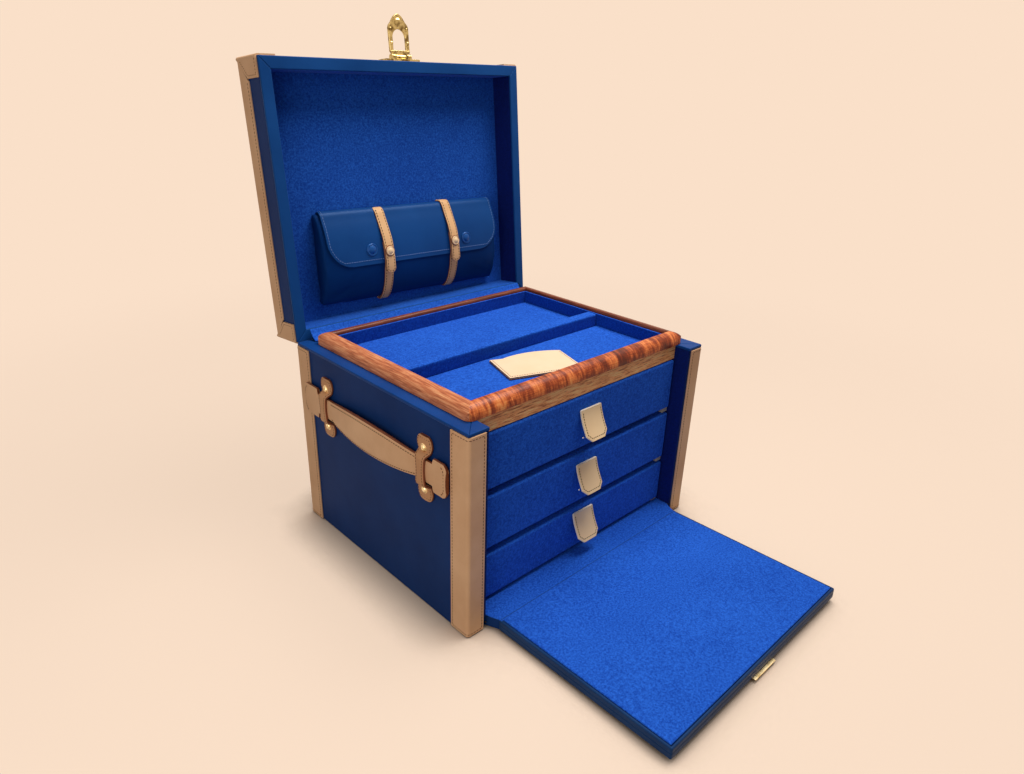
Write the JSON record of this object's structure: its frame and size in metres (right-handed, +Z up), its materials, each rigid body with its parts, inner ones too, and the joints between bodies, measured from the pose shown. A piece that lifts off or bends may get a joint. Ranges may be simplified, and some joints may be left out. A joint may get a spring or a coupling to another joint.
{
  "type": "jewellery case",
  "caption": "Leather-covered trunk-style jewellery case with a hinged lid, drop front, suede-lined drawers, lift-out wooden tray and a strapped pouch in the lid.",
  "frame": {"origin": "middle of the underside of the case", "axes": "+X to the right, front towards -Y, +Z up"},
  "size_m": [0.3164, 0.4946, 0.4741],
  "materials": {
    "navy_leather": "pebbled satin leather",
    "tan_leather": "smooth vegetable-tanned leather",
    "blue_suede": "napped suede",
    "board": "raw board under leather",
    "drawer_board": "plain lined board",
    "figured_wood": "satin lacquer",
    "brass": "polished"
  },
  "bodies": {
    "case": {"bottom_board": "board", "bottom_leather": "navy_leather", "left_wall_board": "board", "right_wall_board": "board", "back_wall_board": "board", "case_leather": "navy_leather", "rim_binding": "navy_leather", "case_corner_trims": "tan_leather", "case_lining": "blue_suede", "drawer_runners": "drawer_board", "left_handle_grip": "tan_leather", "right_handle_grip": "tan_leather", "handle_keepers": "tan_leather", "handle_rivets": "brass", "front_hinge_base_leaf": "brass", "front_hinge_pin": "brass", "front_hinge_leather": "navy_leather", "front_hinge_suede": "blue_suede", "lid_hinge_base_leaf": "brass", "lid_hinge_pin": "brass", "lid_gusset": "blue_suede"},
    "drop_front": {"front_panel_board": "board", "front_panel_leather": "navy_leather", "front_panel_lining": "blue_suede", "front_hinge_panel_leaf": "brass", "front_catch": "brass"},
    "tray": {"tray_front_moulding": "figured_wood", "tray_back_moulding": "figured_wood", "tray_left_moulding": "figured_wood", "tray_right_moulding": "figured_wood", "tray_floor": "board", "tray_lining": "blue_suede", "tray_divider": "blue_suede"},
    "pocket": {"card_pocket": "tan_leather"},
    "lid": {"lid_top_board": "board", "lid_wall_boards": "board", "lid_leather": "navy_leather", "lid_rim": "navy_leather", "lid_lining": "blue_suede", "lid_edge_trims": "tan_leather", "lid_corner_trims": "tan_leather", "lid_hinge_lid_leaf": "brass", "latch_plate": "brass", "latch_pin": "brass", "pouch_body": "navy_leather", "pouch_flap": "navy_leather", "pouch_snaps": "navy_leather", "lower_straps": "tan_leather"},
    "hasp": {"latch_hasp": "brass"},
    "left_strap": {"left_upper_strap": "tan_leather"},
    "right_strap": {"right_upper_strap": "tan_leather"},
    "bottom_drawer": {"bottom_drawer_front": "blue_suede", "bottom_drawer_box": "drawer_board", "bottom_drawer_tab": "tan_leather"},
    "middle_drawer": {"middle_drawer_front": "blue_suede", "middle_drawer_box": "drawer_board", "middle_drawer_tab": "tan_leather"},
    "top_drawer": {"top_drawer_front": "blue_suede", "top_drawer_box": "drawer_board", "top_drawer_tab": "tan_leather"}
  },
  "joints": [
    {"name": "lid_hinge", "type": "hinge", "parent": "case", "child": "lid", "pos_m": [0, 0.1234, 0.1853], "axis": [-1, 0, 0], "range_deg": [-95.4, 0], "deforming": ["lid_gusset"]},
    {"name": "drop_front_hinge", "type": "hinge", "parent": "case", "child": "drop_front", "pos_m": [0, -0.122, 0.003], "axis": [1, 0, 0], "range_deg": [-89.08, 0], "deforming": ["front_hinge_leather", "front_hinge_suede"]},
    {"name": "bottom_drawer_slide", "type": "slide", "parent": "case", "child": "bottom_drawer", "axis": [0, -1, 0], "range_m": [0, 0.13]},
    {"name": "middle_drawer_slide", "type": "slide", "parent": "case", "child": "middle_drawer", "axis": [0, -1, 0], "range_m": [0, 0.13]},
    {"name": "top_drawer_slide", "type": "slide", "parent": "case", "child": "top_drawer", "axis": [0, -1, 0], "range_m": [0, 0.13]},
    {"name": "tray_lift", "type": "slide", "parent": "case", "child": "tray", "axis": [0, 0, 1], "range_m": [0, 0.06]},
    {"name": "pocket_lift", "type": "slide", "parent": "tray", "child": "pocket", "axis": [0, 0, 1], "range_m": [0, 0.05]},
    {"name": "hasp_hinge", "type": "hinge", "parent": "lid", "child": "hasp", "pos_m": [0, 0.15446, 0.43418], "axis": [-1, 0, 0], "range_deg": [-90, 45]},
    {"name": "left_strap_bend", "type": "hinge", "parent": "lid", "child": "left_strap", "pos_m": [-0.0345, 0.16169, 0.29388], "axis": [-1, 0, 0], "range_deg": [0, 85]},
    {"name": "right_strap_bend", "type": "hinge", "parent": "lid", "child": "right_strap", "pos_m": [0.0505, 0.16169, 0.29388], "axis": [-1, 0, 0], "range_deg": [0, 85]}
  ]
}
